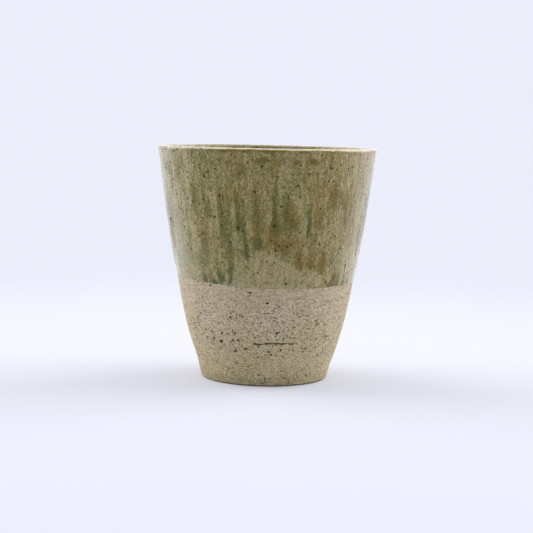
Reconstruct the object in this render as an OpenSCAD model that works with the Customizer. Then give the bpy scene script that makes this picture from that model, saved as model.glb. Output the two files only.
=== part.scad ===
// A wheel-thrown tea cup without a handle: one stoneware body with a trimmed foot,
// a clear glaze inside and out, and an olive ash glaze that ran down over the outer coat.
// The origin is the centre of the foot, on the table. Azimuth 0 faces -Y and grows towards +X.

/* [Cup] */
// Height from the table to the top of the lip
cup_h = 85; // [70:0.5:110]
// Diameter over the clear coat at the lip
lip_d = 80; // [70:0.5:92]
// Diameter of the bare clay where the belly meets the straight wall
belly_d = 62.6; // [58:0.2:68]
// Height of the belly, where the straight wall starts
belly_h = 30; // [24:0.5:40]
// How far the straight wall bows out between the belly and the lip
wall_bow = 0.35; // [0:0.05:1]

/* [Foot] */
// Diameter of the foot at the table
foot_d = 46.6; // [40:0.2:50]
// Diameter at the top of the trimmed foot
foot_top_d = 51; // [50.5:0.5:54]
// Height of the trimmed foot
foot_h = 8; // [5:0.5:12]
// Width of the ring that stands on the table
foot_ring_w = 6; // [4:0.25:9]
// Depth of the hollow inside the foot ring
foot_hollow_h = 2.6; // [1.5:0.1:3.5]
// Chamfer along the edges of the foot ring
foot_chamfer = 0.7; // [0.3:0.1:1.2]

/* [Wall] */
// Thickness of the clay just under the lip
lip_wall = 2.9; // [2.2:0.1:4]
// Thickness of the clay wall at the foot
base_wall = 5.2; // [4:0.1:7]
// How far the lip turns out
lip_flare = 0.35; // [0:0.05:1]
// Height over which the lip turns out
lip_flare_h = 3; // [2:0.25:6]
// Height of the clay floor inside, from the table
floor_h = 8; // [6.5:0.25:11]
// Radius of the round corner between floor and wall inside
corner_r = 11; // [6:0.5:13]

/* [Glaze] */
// Mean height of the edge of the clear coat outside
coat_edge_h = 36.8; // [30:0.5:46]
// Thickness of the clear coat
coat_t = 0.3; // [0.2:0.05:0.6]
// How far the clear coat laps over the lip, down the inside
coat_lap = 6; // [3:0.5:12]
// Thickness of the glaze inside
liner_t = 0.35; // [0.2:0.05:0.6]
// Thickness of the glaze where it pooled on the floor
pool_t = 1.1; // [0.7:0.1:2]
// Thickness of the olive ash glaze over the clear coat
ash_t = 0.25; // [0.15:0.05:0.5]
// How far below the rounding of the lip the olive ash glaze starts
ash_start = 0.6; // [0.4:0.1:4]

/* [Grit] */
// Diameter of the largest iron specks
iron_d = 1.2; // [0.6:0.1:1.5]
// Diameter of the largest pale grains
grain_d = 1.1; // [0.6:0.1:1.5]
// Number of specks and grains scattered round the sides and back
scatter_count = 36; // [10:2:60]

/* [Drag mark] */
// Height of the mark that a dragged grain left in the clay
drag_h = 16.2; // [12:0.1:22]
// Width of the mark
drag_w = 0.6; // [0.3:0.05:1]
// Depth of the mark
drag_depth = 0.4; // [0.2:0.05:0.6]

/* [Hidden] */
$fn = 96;
// Overrun that carries a cut past the surface it opens
over = 1;
// Clay and glaze colours
clay_colour = [0.70, 0.64, 0.55];
liner_colour = [0.60, 0.60, 0.47];
coat_colour = [0.63, 0.62, 0.53];
ash_colour = [0.47, 0.45, 0.29];
iron_colour = [0.12, 0.09, 0.06];
grain_colour = [0.86, 0.82, 0.72];

foot_r = foot_d / 2;
foot_top_r = foot_top_d / 2;
belly_r = belly_d / 2;
lip_r = lip_d / 2 - coat_t - lip_flare;
clay_h = cup_h - coat_t;
// Radius of the rounded lip of the clay
lip_round = lip_wall / 2;
lip_top_h = clay_h - lip_round;
// Top edge of the ash glaze, and the lower edge of the coat inside
ash_top_h = lip_top_h - ash_start;
lap_h = cup_h - coat_lap;
// Outward slope of the wall just above the foot
foot_slope = 0.42;
// How fast the wall thickens from the lip down to the foot
wall_taper = 1.5;
// Steps along each stretch of the outline
foot_steps = 3;
belly_steps = 10;
wall_steps = 14;
lip_steps = 10;
corner_steps = 8;
floor_steps = 4;
// Steps round the cup for the edges of the glazes
edge_steps = 216;
// The coat's band starts at this share of its edge height, below every dip of the edge
coat_start_share = 0.9;

// Height of the coat's edge above its mean, as shares of the coat's own height, by azimuth
coat_edge_shares = [
    [-180, 0.010], [-150, -0.022], [-120, 0.018], [-95, 0.002], [-62, 0.030], [-29, 0.006],
    [-4, -0.018], [30, -0.018], [50, -0.012], [78, -0.016], [105, 0.024], [138, -0.020], [180, 0.010]
];
// Lower edge of the ash glaze, as shares of the way from the coat's edge to the lip, by azimuth
ash_edge_shares = [
    [-180, 0.14], [-172, 0.05], [-163, 0.22], [-152, 0.09], [-143, 0.26], [-131, 0.06], [-120, 0.17],
    [-111, 0.05], [-99, 0.15], [-88, 0.06], [-76, 0.11], [-68, 0.04], [-61, 0.12], [-55, 0.06],
    [-49, 0.10], [-44, 0.04], [-40, 0.07], [-33, 0.025], [-26, 0.09], [-21, 0.045], [-16, 0.28],
    [-11, 0.17], [-7, 0.30], [-3, 0.21], [1, 0.31], [6, 0.19], [10, 0.24], [14, 0.15], [17, 0.19],
    [22, 0.12], [27, 0.15], [32, 0.09], [36, 0.13], [40, 0.075], [43, 0.12], [47, 0.03], [53, 0.06],
    [58, 0.025], [66, 0.07], [75, 0.03], [86, 0.14], [97, 0.05], [108, 0.21], [118, 0.07],
    [127, 0.16], [137, 0.035], [148, 0.24], [159, 0.09], [170, 0.20], [180, 0.14]
];
// Iron specks on the front: azimuth, share of the cup's height, share of the largest diameter
front_iron_shares = [
    [-71, 0.686, 1.00], [-3, 0.925, 0.85], [-6.5, 0.825, 0.60], [-15.5, 0.675, 0.65],
    [5.5, 0.580, 0.60], [12, 0.447, 0.75], [-37, 0.425, 0.70], [-10.5, 0.418, 0.80],
    [1.5, 0.364, 0.85], [8.3, 0.236, 0.85], [-33.5, 0.189, 0.95], [-13.5, 0.166, 0.75],
    [56.5, 0.513, 0.65], [48, 0.576, 0.55], [31.5, 0.611, 0.60], [-29.5, 0.716, 0.65],
    [-34, 0.877, 0.60], [51, 0.205, 0.55]
];
// Pale grains on the front: azimuth, share of the cup's height, share of the largest diameter
front_grain_shares = [
    [6.3, 0.572, 0.80], [11.5, 0.826, 0.75], [-24, 0.895, 0.70], [-8, 0.972, 0.60],
    [-27.5, 0.339, 0.70], [-29, 0.147, 0.75], [13, 0.889, 0.60], [-59, 0.800, 0.70], [38, 0.930, 0.60]
];
// Azimuths where the drag mark starts and ends
drag_from_angle = -8;
drag_to_angle = 20;
// Each speck or grain sits this share of its radius under the surface
sunk_share = 0.55;
// The scatter's grains go from this share of the largest diameter up
least_share = 0.5;
// Turn from one scattered grain to the next
golden_angle = 137.5;
// Azimuth where the scatter starts, past the front
scatter_from_angle = 84;
// Coat left over a grain that the ash covers
grit_cover = 0.05;
// Least distance from a grain to a glaze's edge, and how far round the edge is looked at
grit_gap = 0.4;
grit_reach_angle = 3;

// Eases from 0 to 1 as t goes from 0 to 1
function ease(t) = t * t * (3 - 2 * t);

// Value at an azimuth of a table of [azimuth, value] rows that runs from -180 to 180
function round_value(rows, azimuth) =
    let (
        a = azimuth > 180 ? azimuth - 360 : azimuth,
        i = max([for (k = [0 : len(rows) - 2]) rows[k][0] <= a ? k : 0]),
        t = (a - rows[i][0]) / (rows[i + 1][0] - rows[i][0])
    ) rows[i][1] + (rows[i + 1][1] - rows[i][1]) * ease(t);

// Cubic from p to q over a rise, with a slope at each end
function curve(p, q, slope_p, slope_q, rise, t) =
    (2 * t ^ 3 - 3 * t ^ 2 + 1) * p + (t ^ 3 - 2 * t ^ 2 + t) * rise * slope_p
    + (3 * t ^ 2 - 2 * t ^ 3) * q + (t ^ 3 - t ^ 2) * rise * slope_q;

// Slope of the straight wall where it meets the belly
wall_slope = (lip_r - belly_r + 4 * wall_bow) / (lip_top_h - belly_h);
function flare_at(z) = lip_flare * ease(max(0, (z - lip_top_h + lip_flare_h) / lip_flare_h));
function wall_r(t) = belly_r + (lip_r - belly_r) * t + wall_bow * 4 * t * (1 - t);
// Radius of the clay's outer surface at a height
function clay_r(z) =
    z < foot_h ? foot_r + (foot_top_r - foot_r) * z / foot_h
    : z < belly_h
    ? curve(foot_top_r, belly_r, foot_slope, wall_slope, belly_h - foot_h, (z - foot_h) / (belly_h - foot_h))
    : wall_r((z - belly_h) / (lip_top_h - belly_h)) + flare_at(z);

// Thickness of the clay wall, measured level, at a height
function wall_at(z) = lip_wall + (base_wall - lip_wall) * (1 - min(1, z / lip_top_h)) ^ wall_taper;
function inner_r(z) = clay_r(z) - wall_at(z);

// Where the inside wall turns into the round corner above the floor
corner_slope = (inner_r(floor_h + corner_r) - inner_r(floor_h + corner_r / 2)) / (corner_r / 2);
corner_tilt = atan(corner_slope);
corner_top_h = floor_h + corner_r * (1 - sin(corner_tilt));
corner_x = inner_r(corner_top_h) - corner_r * cos(corner_tilt);

// Points up the outside, over the lip, down the inside and along the floor to the axis
function steps(from, to, count) = [for (i = [0 : count - 1]) from + (to - from) * i / count];
outside_heights = concat(
    steps(foot_chamfer, foot_h, foot_steps),
    steps(foot_h, belly_h, belly_steps),
    steps(belly_h, ash_top_h, wall_steps),
    [ash_top_h]
);
outside = [for (z = outside_heights) [clay_r(z), z]];
lip_x = clay_r(lip_top_h) - lip_round;
lip_arc = [
    for (i = [0 : lip_steps])
    let (a = 180 * i / lip_steps)
    [lip_x, lip_top_h] + lip_round * [cos(a), sin(a)]
];
inside = [for (z = concat(steps(lap_h, corner_top_h, wall_steps), [corner_top_h])) [inner_r(z), z]];
corner = [
    for (i = [1 : corner_steps])
    let (a = -corner_tilt - (90 - corner_tilt) * i / corner_steps)
    [corner_x, floor_h + corner_r] + corner_r * [cos(a), sin(a)]
];
floor_line = [for (i = [1 : floor_steps]) [corner_x * (1 - i / floor_steps), floor_h]];
skin = concat(outside, lip_arc, inside, corner, floor_line);
last = len(skin) - 1;

// Unit normal that points out of the clay at each point of the skin
function unit(v) = v / norm(v);
function normal_at(i) =
    i == last ? [0, 1]
    : let (d = unit(skin[i + 1] - skin[max(0, i - 1)])) [d[1], -d[0]];
function lifted(i, t) = skin[i] + normal_at(i) * t;

// Ranges of the skin that each glaze covers
lap_last = len(outside) + len(lip_arc);
coat_first = max([for (i = [0 : len(outside) - 1]) skin[i][1] < coat_edge_h * coat_start_share ? i : 0]);
ash_last = len(outside) - 1;
function liner_at(i) =
    let (depth = (floor_h + corner_r / 2 - skin[i][1]) / (corner_r / 2))
    liner_t + (pool_t - liner_t) * ease(max(0, min(1, depth)));

// Heights of the glaze edges at an azimuth
function coat_edge(azimuth) = coat_edge_h * (1 + round_value(coat_edge_shares, azimuth));
function ash_edge(azimuth) =
    coat_edge(azimuth) + round_value(ash_edge_shares, azimuth) * (cup_h - coat_edge(azimuth));

// 1 where a grain lies whole above a glaze's edge, -1 where it lies below, 0 where the edge meets it
function side_of(edges, z, r) =
    z > max(edges) + r + grit_gap ? 1 : z < min(edges) - r - grit_gap ? -1 : 0;
function coat_side(g) =
    side_of([for (k = [-1 : 1]) coat_edge(g[0] + k * grit_reach_angle)], g[1], g[2] / 2);
function ash_side(g) =
    side_of([for (k = [-1 : 1]) ash_edge(g[0] + k * grit_reach_angle)], g[1], g[2] / 2);

// Grains as rows of azimuth, height and diameter: the chosen ones in front, and the rest
// scattered past the front by equal turns, climbing evenly. None is set on a glaze's edge.
scatter_span_angle = 360 - 2 * scatter_from_angle;
function scatter_azimuth(i) = (scatter_from_angle + (i * golden_angle) % scatter_span_angle + 180) % 360 - 180;
function scatter_h(i) = foot_h / 2 + (ash_top_h - foot_h) * (i + 0.5) / scatter_count;
function scatter_share(i) = least_share + (1 - least_share) * ((i * golden_angle) % 360) / 360;
function grit(front, first, largest) = [
    for (g = concat(
        [for (s = front) [s[0], s[1] * cup_h, s[2] * largest]],
        [
            for (i = [first : 2 : scatter_count - 1])
            [scatter_azimuth(i), scatter_h(i), scatter_share(i) * largest]
        ]
    ))
    if (coat_side(g) != 0 && ash_side(g) != 0 && g[1] + g[2] < ash_top_h) g
];
iron_grit = grit(front_iron_shares, 0, iron_d);
grain_grit = grit(front_grain_shares, 1, grain_d);
all_grit = concat(iron_grit, grain_grit);
coated_grit = [for (g = all_grit) if (coat_side(g) > 0) g];

module clay_outline() {
    hollow_r = foot_r - foot_ring_w;
    polygon(concat(
        [
            [0, foot_hollow_h],
            [hollow_r - foot_hollow_h / 2, foot_hollow_h],
            [hollow_r, foot_chamfer],
            [hollow_r + foot_chamfer, 0],
            [foot_r - foot_chamfer, 0]
        ],
        skin
    ));
}

// Closed band from one lift above the clay to another, along a range of the skin
module band(from, to, low, high) {
    polygon(concat(
        [for (i = [from : to]) lifted(i, low)],
        [for (i = [to : -1 : from]) lifted(i, high)]
    ));
}

// Ring that fills everything below a glaze's wavy edge
module below_edge(heights) {
    n = len(heights);
    inner = belly_r - base_wall;
    outer = lip_d;
    points = [
        for (i = [0 : n - 1])
        let (a = 360 * i / n, s = sin(a), c = -cos(a))
        each [
            [inner * s, inner * c, 0], [outer * s, outer * c, 0],
            [outer * s, outer * c, heights[i]], [inner * s, inner * c, heights[i]]
        ]
    ];
    faces = [
        for (i = [0 : n - 1], k = [0 : 3])
        let (j = (i + 1) % n, m = (k + 1) % 4)
        each [[4 * i + k, 4 * i + m, 4 * j + k], [4 * i + m, 4 * j + m, 4 * j + k]]
    ];
    polyhedron(points, faces);
}

// Grains half sunk into the clay or the coat, or whole inside the coat where ash covers them
module balls(rows) {
    for (g = rows) {
        surface_r = clay_r(g[1]) + (coat_side(g) > 0 ? coat_t : 0);
        depth = ash_side(g) > 0 ? g[2] / 2 + grit_cover : sunk_share * g[2] / 2;
        rotate([0, 0, g[0]])
            translate([0, depth - surface_r, g[1]])
                sphere(d = g[2]);
    }
}

// Groove with a sharp bottom, dragged level round the front
module drag_groove() {
    side = drag_w / 2 * (drag_depth + over) / drag_depth;
    rotate([0, 0, drag_from_angle - 90])
        rotate_extrude(angle = drag_to_angle - drag_from_angle)
            translate([clay_r(drag_h), drag_h])
                polygon([[-drag_depth, 0], [over, -side], [over, side]]);
}

module clay_body() {
    color(clay_colour)
        difference() {
            rotate_extrude() clay_outline();
            drag_groove();
            balls(all_grit);
        }
}

module liner_glaze() {
    color(liner_colour)
        rotate_extrude()
            polygon(concat(
                [for (i = [lap_last : last]) skin[i]],
                [for (i = [last : -1 : lap_last]) lifted(i, liner_at(i))]
            ));
}

module coat_glaze() {
    color(coat_colour)
        difference() {
            rotate_extrude() band(coat_first, lap_last, 0, coat_t);
            below_edge([for (i = [0 : edge_steps - 1]) coat_edge(360 * i / edge_steps)]);
            balls(coated_grit);
        }
}

module ash_glaze() {
    color(ash_colour)
        difference() {
            rotate_extrude() band(coat_first, ash_last, coat_t, coat_t + ash_t);
            below_edge([for (i = [0 : edge_steps - 1]) ash_edge(360 * i / edge_steps)]);
        }
}

module iron_specks() {
    color(iron_colour) balls(iron_grit);
}

module pale_grit() {
    color(grain_colour) balls(grain_grit);
}

clay_body();
liner_glaze();
coat_glaze();
ash_glaze();
iron_specks();
pale_grit();
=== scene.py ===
import math
from functools import cache

import bmesh
import bpy
import numpy as np
from bpy.props import FloatProperty, FloatVectorProperty, IntProperty, PointerProperty
from bpy.types import Operator, Panel, PropertyGroup
from mathutils import Matrix, Vector


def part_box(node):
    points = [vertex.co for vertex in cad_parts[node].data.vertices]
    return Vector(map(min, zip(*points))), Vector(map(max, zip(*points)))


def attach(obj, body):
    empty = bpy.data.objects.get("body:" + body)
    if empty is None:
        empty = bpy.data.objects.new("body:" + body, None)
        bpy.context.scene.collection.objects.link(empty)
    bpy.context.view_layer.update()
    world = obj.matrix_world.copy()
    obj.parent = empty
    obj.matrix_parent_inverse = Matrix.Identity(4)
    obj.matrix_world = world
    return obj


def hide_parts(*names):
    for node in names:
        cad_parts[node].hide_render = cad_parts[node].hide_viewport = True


bl_info = {
    "name": "Ash-glazed tea cup",
    "version": (1, 0, 0),
    "blender": (4, 5, 0),
    "location": "3D View > Sidebar > Tea cup",
    "description": "Builds a thrown stoneware tea cup with an olive ash glaze",
    "category": "Add Mesh",
}

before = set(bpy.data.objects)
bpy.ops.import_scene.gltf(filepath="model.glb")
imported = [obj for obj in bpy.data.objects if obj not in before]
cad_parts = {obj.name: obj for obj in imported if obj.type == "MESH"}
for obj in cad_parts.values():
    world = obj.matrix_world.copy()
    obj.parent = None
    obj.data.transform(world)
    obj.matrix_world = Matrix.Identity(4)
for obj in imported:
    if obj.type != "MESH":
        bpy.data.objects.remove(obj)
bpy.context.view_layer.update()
MM = 0.001
TAU = 2 * math.pi

# Points round each ring: outside, on the liner, underneath, and where glaze or clay hides it
FINE = 600
INSIDE = 360
UNDER = 300
HIDDEN = 60
# Rings round the worn edge of the foot, and from there up the bare wall
EDGE_RINGS = 7
WALL_RINGS = 116
# How far the hidden clay keeps back from the glaze
SET_BACK = 0.15 * MM

# Height of the mark that a dragged grain left, and how far above and below it the rings lie closer
DRAG_HEIGHT = 0.0162
DRAG_REACH = 0.0009
# Depth at which a hole's painted shade, with some stain, is darkest, and the number of holes underneath
DARK_DEPTH = 0.3 * MM
UNDER_PITS = 90
# Mean height and spread of the holes in the bare wall, and the share of them that keeps to that band
PIT_HEIGHT = 0.0185
PIT_SPREAD = 0.0052
PIT_SHARE = 0.62
# Heights where that band begins, is full, thins out and ends in the clay's finish
PITTED_BAND = (0.010, 0.015, 0.024, 0.034)
# Stretches in degrees where runs of glaze and grit are strewn at random
RUNS_BEHIND = (71.0, 290.0)
GRIT_BEHIND = (84, 276)
GRIT_IN_FRONT = (-82, 82)

# Runs of ash glaze on the front: azimuth, top, bottom, half width, depth of glaze, hue.
# Azimuths and half widths are in degrees, heights in millimetres. Azimuth 0 is the middle of the
# front and grows to the right. Hue is -1 for milky blue, 0 for green and 1 for ochre. Runs that
# overlap share their hue, and one past those ends pulls it harder.
FRONT_RUNS = (
    (-67, 83, 75, 4.0, 0.5, 0.4), (-61, 80, 70, 1.8, 0.5, 0.2), (-52, 82, 74, 2.5, 0.5, 0.3),
    (-58, 68, 40, 3.4, 0.22, -2.4), (-66, 56, 38, 4.0, 0.2, -1.6), (-51, 70, 44, 2.4, 0.2, -1.4),
    (-48, 50, 38, 3.6, 0.16, -2.4), (-43, 76, 60, 3.2, 0.5, 0.2), (-40.5, 62, 42, 2.6, 0.18, -0.4),
    (-43, 42, 36.4, 5.0, 0.4, -1.2), (-39.3, 42.5, 37.0, 2.4, 0.85, -0.3), (-34, 72, 60, 2.2, 0.45, 0.1),
    (-30.5, 62, 40.2, 2.2, 0.28, 0.5), (-29.2, 43.8, 36.2, 4.0, 1.05, -0.2),
    (-34, 41.6, 36.0, 3.6, 0.75, -0.6), (-21.2, 43.5, 36.8, 2.2, 0.95, -0.2),
    (-24.8, 41, 36.0, 2.8, 0.65, -0.5), (-25.5, 79, 54, 1.9, 0.55, 0.0),
    (-21.5, 62, 41.5, 1.7, 0.5, 0.4), (-16, 80, 56, 1.6, 0.5, -0.5), (-11.5, 68, 46.2, 1.3, 0.7, -0.4),
    (-10.5, 54, 45.0, 1.7, 0.65, -0.4), (-5.0, 78, 50, 1.8, 0.5, -0.5), (-1.5, 56, 50, 4.5, 0.5, 0.2),
    (7, 62.5, 55.5, 3.4, 0.2, -2.0), (-13, 43, 37.4, 4.0, 0.1, -2.0), (-37, 68, 50, 2.0, 0.3, 0.9),
    (4.6, 80, 58, 1.3, 0.7, -0.2), (8, 66, 50, 5.0, 0.35, 0.6), (14.5, 68, 58, 4.0, 0.45, 0.6),
    (17, 64, 57, 3.4, 0.45, 0.4), (12, 55, 50, 6.0, 0.4, 0.9), (20.5, 55, 42.8, 2.4, 0.8, 0.9),
    (22, 46.5, 42.4, 2.2, 0.7, 1.0), (24.5, 70, 54, 1.5, 0.7, 0.0), (27, 55, 41.8, 3.2, 0.6, 0.9),
    (33, 52, 40.6, 3.6, 0.55, 1.1), (37.5, 50, 40, 2.4, 0.5, 1.0), (33, 66, 56, 3.5, 0.35, 1.0),
    (46, 50, 37.8, 2.4, 0.3, 0.7), (44.5, 41, 34.4, 3.4, 0.7, 0.5), (50, 43, 33.4, 4.8, 1.0, 0.4),
    (57, 43, 29.0, 14, 1.7, 0.1), (64, 43, 35.0, 5.0, 0.3, -0.1), (49.5, 72, 57.5, 2.0, 0.6, 1.1),
    (40, 76, 64, 3.4, 0.4, 1.2), (44, 72, 66, 5.0, 0.4, 1.1), (58, 66, 50, 2.4, 0.35, 0.9),
    (-4, 82.2, 79.4, 2.6, 1.2, 0.6), (22, 82.2, 79.4, 3.8, 1.2, 0.7), (14, 81.5, 79.6, 2.8, 0.8, 0.6),
    (-20, 81.5, 78.5, 1.4, 0.5, -0.1), (-13, 79.5, 75.5, 2.0, 0.3, 0.0), (4, 83, 79, 5.0, 0.3, 0.8),
)
# Holes in the bare clay in front: azimuth, height, half length, half height and depth in millimetres
FRONT_PITS = (
    (-36.8, 36.4, 0.55, 0.42, 0.5), (-11.0, 34.9, 0.34, 0.30, 0.40), (-9.4, 34.7, 0.46, 0.36, 0.50),
    (1.4, 31.1, 0.60, 0.32, 0.5), (8.3, 20.2, 0.55, 0.42, 0.5), (-33.4, 16.2, 0.75, 0.42, 0.55),
    (-31.6, 19.2, 0.34, 0.60, 0.4), (-32.2, 20.3, 0.26, 0.45, 0.3), (-21.2, 19.6, 0.34, 0.50, 0.4),
    (-19.0, 17.1, 0.34, 0.60, 0.4), (-18.6, 15.6, 0.30, 0.26, 0.3), (-13.6, 14.2, 0.80, 0.30, 0.45),
    (-40.0, 16.9, 0.50, 0.34, 0.4), (-41.5, 15.9, 0.30, 0.24, 0.3), (12.3, 13.9, 0.34, 0.50, 0.4),
    (32.3, 14.3, 0.50, 0.30, 0.4), (30.0, 12.9, 0.40, 0.22, 0.3), (46.6, 11.0, 0.30, 0.40, 0.3),
    (51.0, 17.5, 0.34, 0.34, 0.3), (-54.0, 23.5, 0.55, 0.34, 0.4), (-50.0, 25.6, 0.40, 0.40, 0.35),
    (-23.4, 25.4, 0.70, 0.20, 0.3), (-2.8, 23.9, 0.40, 0.30, 0.35), (-16.5, 26.2, 0.26, 0.30, 0.3),
    (-14.9, 26.2, 0.30, 0.30, 0.3), (6.3, 25.9, 0.45, 0.26, 0.3), (10.2, 28.0, 0.26, 0.26, 0.3),
    (20.0, 32.6, 0.30, 0.30, 0.35), (22.3, 32.7, 0.32, 0.32, 0.35), (19.8, 27.0, 0.26, 0.26, 0.3),
    (21.0, 22.2, 0.32, 0.32, 0.3), (30.4, 24.8, 0.22, 0.34, 0.3), (-7.0, 18.3, 0.40, 0.28, 0.35),
    (-8.2, 19.6, 0.34, 0.24, 0.3), (-11.8, 18.2, 0.42, 0.20, 0.3), (2.2, 17.9, 0.36, 0.26, 0.35),
    (20.2, 18.8, 0.30, 0.22, 0.3), (27.6, 17.8, 0.36, 0.26, 0.3), (-62.0, 20.8, 0.60, 0.30, 0.4),
    (-25.0, 21.2, 0.22, 0.40, 0.3), (-45.0, 31.5, 0.24, 0.90, 0.3), (-40.0, 33.0, 0.20, 0.70, 0.25),
    (-1.0, 1.2, 0.50, 0.30, 0.3), (22.3, 1.5, 0.40, 0.34, 0.35), (33.5, 6.2, 0.26, 0.34, 0.3),
    (60.0, 25.0, 0.40, 0.22, 0.3), (44.0, 20.4, 0.26, 0.26, 0.25), (56.0, 12.4, 0.45, 0.22, 0.3),
)
# Stretches of the glaze's lower edge with a blue-green fringe: azimuth and half width in degrees
BLUE_EDGES = ((-33, 24), (112, 20), (168, 22), (-92, 16), (-146, 24))
# Iron specks in the front glaze: azimuth, height and diameter in millimetres
FRONT_IRON = (
    (-70.9, 58.4, 1.5), (-81.5, 67.7, 0.9), (-2.8, 78.9, 1.0), (-6.5, 70.2, 0.75), (-15.5, 57.5, 0.8),
    (5.4, 49.8, 0.75), (12.3, 38.2, 0.95), (57.0, 43.7, 0.8), (31.6, 52.0, 0.75), (48.3, 49.9, 0.65),
    (47.3, 48.3, 0.6), (7.3, 65.3, 0.75), (-29.0, 60.9, 0.8), (-25.3, 58.2, 0.7), (4.4, 58.6, 0.9),
    (-25.3, 68.5, 0.9), (-34.0, 74.9, 0.8), (-31.5, 76.5, 0.8), (21.6, 76.5, 0.8), (34.0, 78.5, 0.7),
    (16.0, 72.5, 0.7), (12.0, 73.8, 0.5), (5.4, 75.6, 0.5), (8.8, 72.0, 0.5), (-45.5, 47.6, 0.5),
    (-46.0, 52.0, 0.5), (-20.4, 52.6, 0.7), (-34.0, 44.5, 0.5), (-10.8, 51.4, 0.6), (1.5, 57.4, 0.45),
    (39.0, 69.5, 0.5), (30.0, 64.5, 0.45), (-43.5, 66.0, 0.5), (-18.5, 49.8, 0.5), (43.0, 45.0, 0.5),
    (-3.8, 43.0, 0.35), (11.0, 40.2, 0.35), (-60.0, 71.5, 0.5), (-8.0, 63.5, 0.4), (64.0, 57.0, 0.5),
)
# Pale grains in the front glaze and clay: azimuth, height and diameter in millimetres
FRONT_GRAINS = (
    (6.4, 48.9, 0.9), (10.6, 70.2, 0.8), (-40.0, 71.2, 0.8), (14.8, 55.9, 0.7), (-24.0, 76.0, 0.6),
    (-8.0, 82.6, 0.6), (-2.4, 82.4, 0.6), (-54.0, 82.4, 0.6), (-27.5, 28.8, 0.6), (-28.6, 12.5, 0.8),
    (13.0, 75.6, 0.5), (38.0, 79.1, 0.5), (-14.0, 73.2, 0.5), (-18.0, 77.8, 0.5), (57.2, 43.0, 0.7),
    (-22.0, 51.5, 0.5), (-36.0, 41.0, 0.5), (33.0, 7.4, 0.5), (-9.5, 80.4, 0.45), (19.6, 57.0, 0.45),
    (-30.0, 14.6, 0.6), (-3.0, 21.0, 0.45), (0.5, 22.4, 0.4), (24.5, 63.4, 0.4), (40.5, 60.0, 0.4),
)
# Soft boxes: name, place and width in metres, and power in watts
SOFT_BOXES = (
    ("left_soft_box", (-0.96, 0.384, 0.52), 0.96, 9.5), ("right_soft_box", (0.96, 0.384, 0.52), 0.96, 10.2),
    ("top_soft_box", (0.0, 0.12, 0.75), 0.70, 1.0),
)
# The point that the soft boxes face
CUP_MIDDLE = (0, 0, 0.04)
# Plain light from all round: its colour and strength
ROUND_LIGHT = (0.97, 0.98, 1.0, 1.0)
ROUND_STRENGTH = 0.56
# The camera fitted to the cup's outline: place in metres, tilt and roll in degrees, lens in millimetres
CAMERA_PLACE = (0.00018, -0.515, 0.094)
CAMERA_TILT = 5.9
CAMERA_ROLL = 1.15
CAMERA_LENS = 94.5
SENSOR_WIDTH = 36


def to_linear(colour):
    """Linear colour of one that is written as the eye sees it on a screen."""
    channels = [c / 12.92 if c <= 0.04045 else ((c + 0.055) / 1.055) ** 2.4 for c in colour]
    return (*channels, 1.0)


def size(name, description, default, least=0.0):
    """A length that a user may change."""
    return FloatProperty(name=name, description=description, default=default, min=least, unit="LENGTH")


def tint(name, description, default):
    """A colour that a user may change, written as the eye sees it."""
    return FloatVectorProperty(
        name=name, description=description, default=default, subtype="COLOR_GAMMA", size=3, min=0.0, max=1.0)


class CupShape(PropertyGroup):
    """Sizes of the thrown and trimmed clay, and of the glazes on it."""
    height: size("Height", "From the table to the top of the glazed lip", 0.085, 0.05)
    lip_radius: size("Lip radius", "Radius of the clear coat at the lip", 0.04, 0.02)
    foot_radius: size("Foot radius", "Radius of the foot's cone at the table", 0.0231, 0.01)
    foot_top_radius: size("Foot top radius", "Radius of the foot's cone at its mean height", 0.0246, 0.01)
    foot_height: size("Foot height", "Mean height of the trimmed foot", 0.0062, 0.003)
    foot_lean: size("Foot lean", "How much higher the foot is trimmed on its left side", 0.0013)
    foot_round: size("Foot round", "Radius of the foot's worn lower edge", 0.0011, 0.0003)
    ring_width: size("Ring width", "Width of the ring that stands on the table", 0.006, 0.003)
    hollow_depth: size("Hollow depth", "Depth of the hollow inside the foot ring", 0.0026, 0.001)
    belly_spread: FloatProperty(
        name="Belly spread", description="How fast the belly widens above the foot", default=0.40, min=0.0)
    belly_radius: size("Belly radius", "Radius of the clay where the straight wall starts", 0.0312, 0.015)
    belly_height: size("Belly height", "Height where the straight wall starts", 0.03, 0.01)
    wall_bow: size("Wall bow", "How far the straight wall bows out", 0.00038)
    rim_shift: size("Rim shift", "How far the rim stands to the left of the foot", 0.00032)
    lip_wall: size("Lip wall", "Thickness of the clay under the lip", 0.0029, 0.001)
    lip_corner: size("Lip corner", "Radius of the lip's outer corner", 0.0008, 0.0003)
    base_wall: size("Base wall", "Thickness of the clay wall at the foot", 0.0052, 0.001)
    floor_height: size("Floor height", "Height of the clay floor inside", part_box("liner_glaze")[0].z, 0.004)
    corner_radius: size("Corner radius", "Radius of the corner between floor and wall inside", 0.011, 0.003)
    lap_height: size("Lap height", "Height where coat and liner meet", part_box("liner_glaze")[1].z, 0.03)
    lap: size("Lap", "How far coat and liner each run past that height", 0.0006, 0.0002)
    coat: size("Clear coat", "Thickness of the clear coat", 0.0002, 0.0001)
    ash: size("Ash glaze", "Thickness that the ash glaze adds where it is deep", 0.00015)
    liner: size("Liner", "Thickness of the glaze inside", 0.00035, 0.0001)
    pool: size("Pool", "Thickness of the glaze pooled on the floor", 0.0011, 0.0001)


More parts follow.
